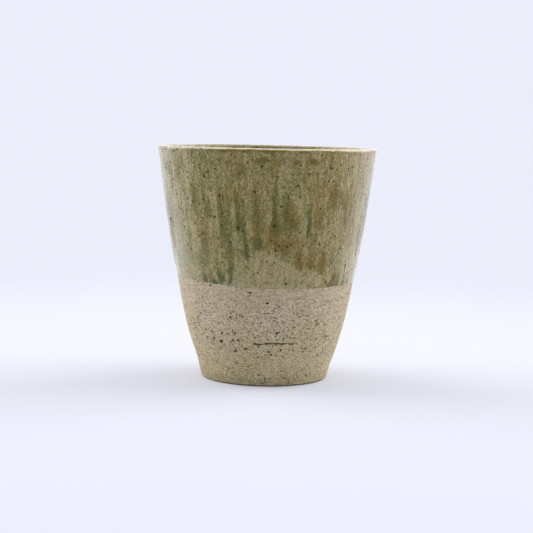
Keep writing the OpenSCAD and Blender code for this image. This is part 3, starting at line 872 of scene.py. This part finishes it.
class TEACUP_OT_dip_outside(Operator):
    """Dip the outside in clear coat and ash glaze, which melted into one running glass"""
    bl_idname = "teacup.dip_outside"
    bl_label = "Glaze the outside"

    def execute(self, context):
        finish = context.scene.teacup_finish
        cup = Outline(context.scene.teacup_shape)
        turning = Turning(cup.shape)
        coat_edge = lower_edge("coat_glaze")
        first = self.outside(turning, cup, finish, coat_edge, lower_edge("ash_glaze"))
        self.lip_and_lap(turning, cup, finish)
        self.back(turning, cup, coat_edge)
        turning.join(turning.last, first)
        glaze = turning.make("fused_outer_glaze", glaze_material(finish, "olive_ash_glaze"))
        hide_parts("coat_glaze", "ash_glaze")
        return {"FINISHED"}

    def wall_height(self, azimuth, nominal, edge):
        """Heights of rows that follow the wavy edge and turn level above it."""
        mean = float(edge(grid(FINE, 1)).mean())
        return nominal + (edge(azimuth) - mean) * smooth(mean + 0.010, mean, nominal)

    def outside(self, turning, cup, finish, coat_edge, ash_edge):
        """The outer wall, from the rounded lower edge up to the lip."""
        shape = cup.shape
        mean = float(coat_edge(grid(FINE, 1)).mean())
        bead = np.array([0, 0.06, 0.14, 0.24, 0.36, 0.52, 0.72, 0.98, 1.3, 1.65]) * MM
        level = np.arange(mean + 2 * MM, cup.lip_top - 0.3 * MM, 0.4 * MM)
        nominal = np.concatenate([mean + bead, level, [cup.lip_top]])[:, None]
        azimuth = grid(FINE, len(nominal))
        height = self.wall_height(azimuth, nominal, coat_edge)
        radius = cup.outer(height)
        above = height - coat_edge(azimuth)
        depth, hue = self.colours(azimuth, height, radius, above, cup, finish, ash_edge)
        rise = np.clip(above / (0.7 * MM), 0, 1)
        coat = shape.coat * np.sqrt(rise * (2 - rise)) * (0.62 + 0.38 * smooth(0, 0.006, above))
        coat = coat - 0.03 * MM * smooth(0.05, 0, rise)
        ash = shape.ash * np.clip(depth, 0, 1.3) * np.clip(above / (1.2 * MM), 0, 1)
        peel = 0.014 * MM * round_noise(azimuth, height, 190, 0.0016, finish.seed + 67) * rise
        dents = np.zeros(azimuth.shape)
        halo = np.zeros(azimuth.shape)
        spots = iron_spots(finish)
        craters = [(a, z, d * 0.6, d * 0.6, 0.10 * MM) for a, z, d in spots]
        stains = [(a, z, d * 0.62, d * 0.58, 1.0) for a, z, d in spots]
        grains = spots_in_metres(FRONT_GRAINS) + glaze_grains(finish)
        stains += [(a, z - d * 0.2, d * 1.1, d * 1.2, 0.45) for a, z, d in grains]
        rough = 0.25 * round_noise(azimuth, height, 420, 0.0005, finish.seed + 68)
        stamp(dents, azimuth, height, radius, craters, lambda d: smooth(1.0, 0.4, d))
        stamp(halo, azimuth, height, radius, stains, lambda d: smooth(1.25, 0.6, d), rough)
        relief = clay_relief(azimuth, height, finish.seed) + coat + ash + peel - dents
        return turning.rows(radius + relief, height, depth=depth, hue=hue, halo=halo, lip=0.0)

    def colours(self, azimuth, height, radius, above, cup, finish, ash_edge):
        """Depth and hue of the glass: ash runs above, and the thin coat left bare under them."""
        depth, hue = GlazeRuns(finish, ash_edge).fields(azimuth, height, radius)
        seed = finish.seed
        border = height - ash_edge(azimuth) + 0.0009 * round_noise(azimuth, height, 110, 0.004, seed + 64)
        ash = smooth(-0.0004, 0.0042, border)
        drips = np.clip(depth - 0.62, 0, 2)
        thin = 0.20 + 0.06 * round_noise(azimuth, height, 60, 0.004, seed + 65)
        shown = np.maximum(ash, np.clip(drips * 3, 0, 1))
        depth = depth * ash + (thin + drips) * (1 - ash)
        blue = sum(smooth(1.2, 0.5, np.abs(turn_between(azimuth, math.radians(a))) / math.radians(w))
                   for a, w in BLUE_EDGES)
        hue = hue * shown - (0.10 + 0.30 * blue) * (1 - shown)
        hue = hue - 0.25 * blue * smooth(0.0024, 0.0, above)
        roll = smooth(0.0011, 0.0004, cup.lip_top + 0.0003 - height) * rolled(azimuth, seed)
        return depth + 0.6 * roll, hue + 0.9 * roll

    def lip_and_lap(self, turning, cup, finish):
        """Over the lip, where the glass ran thin, and down to where it laps over the liner."""
        shape = cup.shape
        seed = finish.seed
        lip = cup.over_lip(0.3 * MM)
        line = np.vstack([lip, cup.descend(cup.lip_top, shape.lap_height - shape.lap, 0.4 * MM)[1:]])
        azimuth = grid(FINE, len(line))
        share = np.clip((np.arange(len(line)) + 1.0) / (len(lip) + 1), 0, 1)[:, None]
        ragged = 0.05 * rim_noise(azimuth, 60, seed + 73) + 0.03 * rim_noise(azimuth, 200, seed + 74)
        crest = smooth(0.11, 0.26, share + ragged) * smooth(0.82, 0.52, share + ragged)
        spots = round_noise(azimuth, 0.005 * share, 200, 0.0010, seed + 75)
        crest = crest * np.clip(0.92 + 0.45 * spots, 0, 1)
        roll = smooth(0.26, 0.10, share) * rolled(azimuth, seed)
        down = np.maximum(cup.lip_top - line[:, 1:], 0) + azimuth * 0
        depth, hue = inside_glass(azimuth, down, seed)
        depth = depth + 0.6 * roll + 0.25 * smooth(0.006, 0, down) * (1 - crest)
        hue = hue + 0.9 * roll + 0.35 * smooth(0.008, 0, down)
        end = np.sqrt(np.clip((line[:, 1:] - line[-1, 1]) / (0.8 * MM), 0, 1))
        thick = (shape.coat + 0.07 * MM * (1 - crest) * smooth(1, 0.85, share)) * end
        relief = clay_relief(azimuth, azimuth * 0 + cup.lip_top, seed)
        radius, height = offset_line(line, thick + relief * smooth(1, 0.5, share))
        # Painted light: the inner wall just under the lip is blended towards the lip's cream, to lift the
        # shade inside the cup
        inside = (0.25 + 3 * ragged) * smooth(0.006, 0.0005, down) * smooth(0.7, 0.95, share)
        between = smooth(0, 0.35, share) * smooth(1, 0.65, share)
        uneven = 0.06 * MM * rim_noise(azimuth, 9, seed + 78) * between
        turning.rows(radius, height + uneven, depth=depth, hue=hue, lip=np.maximum(crest, inside), halo=0.0)

    def back(self, turning, cup, edge):
        """The side of the glaze that lies on the clay."""
        inside = cup.descend(cup.lip_top, cup.shape.lap_height, 2 * MM)
        for line in (inside[::-1], cup.over_lip(0.9 * MM)[::-1]):
            turning.rows(*offset_line(line, grid(HIDDEN, len(line)) * 0))
        mean = float(edge(grid(FINE, 1)).mean())
        nominal = np.linspace(cup.lip_top, mean + 0.3 * MM, 16)[:, None]
        height = self.wall_height(grid(HIDDEN, len(nominal)), nominal, edge)
        turning.rows(cup.outer(height) - 0.3 * MM, height)


def rolled(azimuth, seed):
    """Share of the deep glass that is left in the broken line under the lip."""
    broken = 0.6 * rim_noise(azimuth, 75, seed + 66) + 0.3 * rim_noise(azimuth, 210, seed + 69)
    return np.clip(0.55 + broken, 0, 1)


def inside_glass(azimuth, down, seed):
    """Depth and hue of the glass inside, by its way down from the lip, on both sides of the lap."""
    streaks = round_noise(azimuth, down, 100, 0.030, seed + 91)
    streaks = streaks + 0.6 * round_noise(azimuth, down, 220, 0.012, seed + 92)
    clouds = round_noise(azimuth, down, 20, 0.012, seed + 93)
    return 0.24 + 0.16 * streaks + 0.10 * clouds, 0.15 + 0.35 * clouds


class TEACUP_OT_line_inside(Operator):
    """Line the inside with glaze, which ran down the wall and pooled on the floor"""
    bl_idname = "teacup.line_inside"
    bl_label = "Glaze the inside"

    def execute(self, context):
        shape = context.scene.teacup_shape
        finish = context.scene.teacup_finish
        cup = Outline(shape)
        start = shape.lap_height + shape.lap
        line = np.vstack([cup.descend(start, cup.corner_top, 0.5 * MM), cup.to_axis(0.5 * MM)])
        azimuth = grid(INSIDE, len(line))
        travel = np.concatenate([[0], np.cumsum(np.linalg.norm(np.diff(line, axis=0), axis=1))])[:, None]
        down = travel + cup.lip_top - start + azimuth * 0
        away = smooth(0.004, 0.012, line[:, :1])
        depth, hue = inside_glass(azimuth, down, finish.seed)
        floor = smooth(shape.floor_height + 0.008, shape.floor_height + 0.001, line[:, 1:])
        depth = 0.24 + (depth - 0.24) * away + 0.50 * floor + 0.12 * travel / travel.max()
        hue = 0.15 + (hue - 0.15) * away - 0.50 * floor
        rings = 0.08 * MM * np.sin(down / 0.0011 + azimuth) * away
        rings = rings * (1 - floor) * smooth(0.002, 0.010, travel)
        full = smooth(-0.0006, 0.0016, travel)
        thick = (shape.liner + (shape.pool - shape.liner) * floor) * full + rings
        turning = Turning(shape)
        first = turning.rows(*offset_line(line, thick), depth=depth, hue=hue, lip=0.0, halo=0.0)
        turning.tip(turning.last, shape.floor_height + shape.pool, False)
        turning.last = None
        under = np.vstack([cup.descend(start, cup.corner_top, 4 * MM), cup.to_axis(2 * MM)])[::-1]
        back = turning.rows(*offset_line(under, grid(HIDDEN, len(under)) * 0))
        turning.tip(back, shape.floor_height, True)
        turning.join(turning.last, first)
        liner = turning.make("pooled_inner_glaze", glaze_material(finish, "inside_glaze"))
        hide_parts("liner_glaze")
        return {"FINISHED"}


def grit_mesh(name, stones, seed):
    """One mesh of small uneven stones. Each stone is its place, the surface's normal and its diameter."""
    ball = bmesh.new()
    bmesh.ops.create_icosphere(ball, subdivisions=2, radius=0.5)
    base = np.array([v.co for v in ball.verts])
    sides = [[v.index for v in f.verts] for f in ball.faces]
    ball.free()
    draw = np.random.default_rng(seed)
    points = []
    faces = []
    for place, normal, diameter in stones:
        lumps = base * (1 + draw.uniform(-0.22, 0.16, (len(base), 1)))
        lumps = lumps * np.array([draw.uniform(0.8, 1.25), draw.uniform(0.8, 1.25), 0.62]) * diameter
        facing = Vector(normal).to_track_quat("Z", "Y").to_matrix()
        facing = facing @ Matrix.Rotation(draw.uniform(0, TAU), 3, "Z")
        first = len(points) * len(base)
        points.append(lumps @ np.array(facing).T + np.array(place))
        faces.extend([[first + i for i in side] for side in sides])
    mesh = bpy.data.meshes.new(name)
    mesh.from_pydata(np.vstack(points).tolist(), [], faces)
    return mesh


def seat(carrier, azimuth, height, diameter, sink):
    """A stone's place outside on a piece, sunk by a share of its diameter, with normal and diameter."""
    radius = 1.02 * float(Outline(bpy.context.scene.teacup_shape).outer(height))
    start = Vector((radius * math.sin(azimuth), -radius * math.cos(azimuth), height))
    found, place, normal, _ = carrier.closest_point_on_mesh(start)
    if not found:
        raise RuntimeError("a stone found no surface")
    return place - normal * sink * diameter, normal, diameter


def scattered(count, low, high, least, most, seed, span=GRIT_BEHIND):
    """Azimuth, height and diameter of strewn grit, round the sides and back unless told otherwise."""
    draw = np.random.default_rng(seed)
    turns = np.radians(draw.uniform(*span, count))
    heights = draw.uniform(low, high, count)
    return list(zip(turns, heights, draw.uniform(least, most, count) * MM))


def iron_spots(finish):
    """Azimuth, height and diameter of every iron speck. Those strewn in front are small."""
    front = scattered(finish.specks // 5, 0.041, 0.082, 0.25, 0.45, finish.seed + 202, GRIT_IN_FRONT)
    strewn = scattered(finish.specks, 0.042, 0.081, 0.35, 0.95, finish.seed + 200)
    return spots_in_metres(FRONT_IRON) + front + strewn


def glaze_grains(finish):
    """Azimuth, height and diameter of every pale grain in the glaze."""
    front = scattered(finish.grains // 3, 0.050, 0.083, 0.3, 0.55, finish.seed + 213, GRIT_IN_FRONT)
    return front + scattered(finish.grains // 2, 0.042, 0.083, 0.3, 0.7, finish.seed + 210)


class TEACUP_OT_seat_iron(Operator):
    """Seat iron specks in the outer glaze"""
    bl_idname = "teacup.seat_iron"
    bl_label = "Iron specks"

    def execute(self, context):
        finish = context.scene.teacup_finish
        glaze = bpy.data.objects["fused_outer_glaze"]
        context.view_layer.update()
        stones = [seat(glaze, a, z, d * 0.66, 0.14) for a, z, d in iron_spots(finish)]
        mesh = grit_mesh("iron_specks_in_glaze", stones, finish.seed + 201)
        piece = add_piece("iron_specks_in_glaze", mesh, grit_material("iron", finish.iron, 0.6, 1.2))
        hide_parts("iron_specks")
        return {"FINISHED"}


class TEACUP_OT_seat_grains(Operator):
    """Seat pale feldspar grains in the glaze and the bare clay"""
    bl_idname = "teacup.seat_grains"
    bl_label = "Pale grains"

    def execute(self, context):
        finish = context.scene.teacup_finish
        glaze = bpy.data.objects["fused_outer_glaze"]
        clay = bpy.data.objects["thrown_clay_body"]
        context.view_layer.update()
        edge = lower_edge("coat_glaze")
        spots = spots_in_metres(FRONT_GRAINS) + glaze_grains(finish)
        spots += scattered(finish.grains // 2, 0.004, 0.034, 0.3, 0.7, finish.seed + 211)
        stones = [seat(glaze if z > edge(a) else clay, a, z, d, 0.18) for a, z, d in spots]
        mesh = grit_mesh("pale_grains", stones, finish.seed + 212)
        piece = add_piece("pale_grains", mesh, grit_material("feldspar", finish.grain, 0.4, 1.5))
        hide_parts("pale_grit")
        return {"FINISHED"}


class TEACUP_OT_set_stage(Operator):
    """Set the pale floor, the soft studio light and the camera"""
    bl_idname = "teacup.set_stage"
    bl_label = "Floor, light and camera"

    def execute(self, context):
        scene = context.scene
        pale = to_linear(scene.teacup_finish.floor)
        self.floor(pale, to_linear([c * 0.96 for c in scene.teacup_finish.floor]))
        self.world(scene, pale)
        for name, place, width, power in SOFT_BOXES:
            self.soft_box(name, place, width, power)
        self.camera(scene)
        scene.view_settings.view_transform = "Standard"
        return {"FINISHED"}

    def floor(self, pale, lit):
        """A wide disc. Far away it glows like the background, and near the cup it keeps the shadow."""
        mesh = bpy.data.meshes.new("floor")
        disc = bmesh.new()
        bmesh.ops.create_circle(disc, cap_ends=True, segments=96, radius=4.0)
        disc.to_mesh(mesh)
        disc.free()
        floor = bpy.data.objects.new("floor", mesh)
        bpy.context.scene.collection.objects.link(floor)
        mix = Recipe("pale_floor")
        mesh.materials.append(mix.material)
        mix.put(mix.shader.inputs["Base Color"], lit)
        mix.shader.inputs["Roughness"].default_value = 0.9
        glow = mix.add("ShaderNodeEmission")
        glow.inputs["Color"].default_value = pale
        seen, mirrored = mix.rays()
        level = mix.ranged(mix.axis(mix.place, "Y"), -0.16, 0.12, -0.35, 0.5)
        mix.put(glow.inputs["Strength"], mix.math("ADD", 1.0, mix.math("MULTIPLY", mirrored, level)))
        reach = mix.add("ShaderNodeVectorMath", operation="LENGTH")
        mix.put(reach.inputs[0], mix.place)
        far = mix.ranged(reach.outputs["Value"], 0.035, 0.40, 0.24, 1.0)
        glowing = mix.math("MAXIMUM", mix.math("MULTIPLY", far, seen), mirrored)
        surface = mix.choose(glowing, mix.shader.outputs[0], glow.outputs[0])
        mix.put(mix.tree.nodes["Material Output"].inputs["Surface"], surface)

    def world(self, scene, pale):
        """Pale where it is seen, brighter behind the cup than in front in reflections, else plain light."""
        world = bpy.data.worlds.new("studio")
        scene.world = world
        world.use_nodes = True
        mix = Mixer(world.node_tree)
        light = mix.tree.nodes["Background"]
        light.inputs["Color"].default_value = ROUND_LIGHT
        light.inputs["Strength"].default_value = ROUND_STRENGTH
        seen, mirrored = mix.rays()
        way = mix.add("ShaderNodeTexCoord").outputs["Generated"]
        reflected = mix.add("ShaderNodeBackground")
        reflected.inputs["Color"].default_value = pale
        mix.put(reflected.inputs["Strength"], mix.ranged(mix.axis(way, "Y"), -1.0, 1.0, 0.25, 1.6, "LINEAR"))
        backdrop = mix.add("ShaderNodeBackground")
        backdrop.inputs["Color"].default_value = pale
        surface = mix.choose(mirrored, light.outputs[0], reflected.outputs[0])
        surface = mix.choose(seen, surface, backdrop.outputs[0])
        mix.put(mix.tree.nodes["World Output"].inputs["Surface"], surface)

    def soft_box(self, name, place, width, power):
        """A square area light that faces the cup."""
        light = bpy.data.lights.new(name, "AREA")
        light.size = width
        light.energy = power
        lamp = bpy.data.objects.new(name, light)
        bpy.context.scene.collection.objects.link(lamp)
        lamp.location = place
        lamp.rotation_euler = (Vector(CUP_MIDDLE) - lamp.location).to_track_quat("-Z", "Y").to_euler()

    def camera(self, scene):
        """The camera stands where it gives the cup's outline in the photograph."""
        camera = bpy.data.objects.new("photo_camera", bpy.data.cameras.new("photo_camera"))
        scene.collection.objects.link(camera)
        camera.data.lens = CAMERA_LENS
        camera.data.sensor_width = SENSOR_WIDTH
        tilt = Matrix.Rotation(math.radians(90 - CAMERA_TILT), 4, "X")
        roll = Matrix.Rotation(math.radians(CAMERA_ROLL), 4, "Z")
        camera.matrix_world = Matrix.Translation(CAMERA_PLACE) @ tilt @ roll
        scene.camera = camera


STEPS = (
    TEACUP_OT_throw_body, TEACUP_OT_dip_outside, TEACUP_OT_line_inside,
    TEACUP_OT_seat_iron, TEACUP_OT_seat_grains, TEACUP_OT_set_stage,
)


class TEACUP_PT_tools(Panel):
    """The steps that make the cup, in order, and its sizes and colours"""
    bl_label = "Tea cup"
    bl_idname = "TEACUP_PT_tools"
    bl_space_type = "VIEW_3D"
    bl_region_type = "UI"
    bl_category = "Tea cup"

    def draw(self, context):
        for step in STEPS:
            self.layout.operator(step.bl_idname)
        for group in (context.scene.teacup_shape, context.scene.teacup_finish):
            column = self.layout.column()
            for name in group.bl_rna.properties.keys():
                if name not in ("rna_type", "name"):
                    column.prop(group, name)


CLASSES = (CupShape, CupFinish, *STEPS, TEACUP_PT_tools)


def register():
    for kind in CLASSES:
        bpy.utils.register_class(kind)
    bpy.types.Scene.teacup_shape = PointerProperty(type=CupShape)
    bpy.types.Scene.teacup_finish = PointerProperty(type=CupFinish)


def unregister():
    del bpy.types.Scene.teacup_finish
    del bpy.types.Scene.teacup_shape
    for kind in reversed(CLASSES):
        bpy.utils.unregister_class(kind)


def main():
    register()
    bpy.ops.teacup.throw_body()
    bpy.ops.teacup.dip_outside()
    bpy.ops.teacup.line_inside()
    bpy.ops.teacup.seat_iron()
    bpy.ops.teacup.seat_grains()
    bpy.ops.teacup.set_stage()


if __name__ == "__main__":
    main()
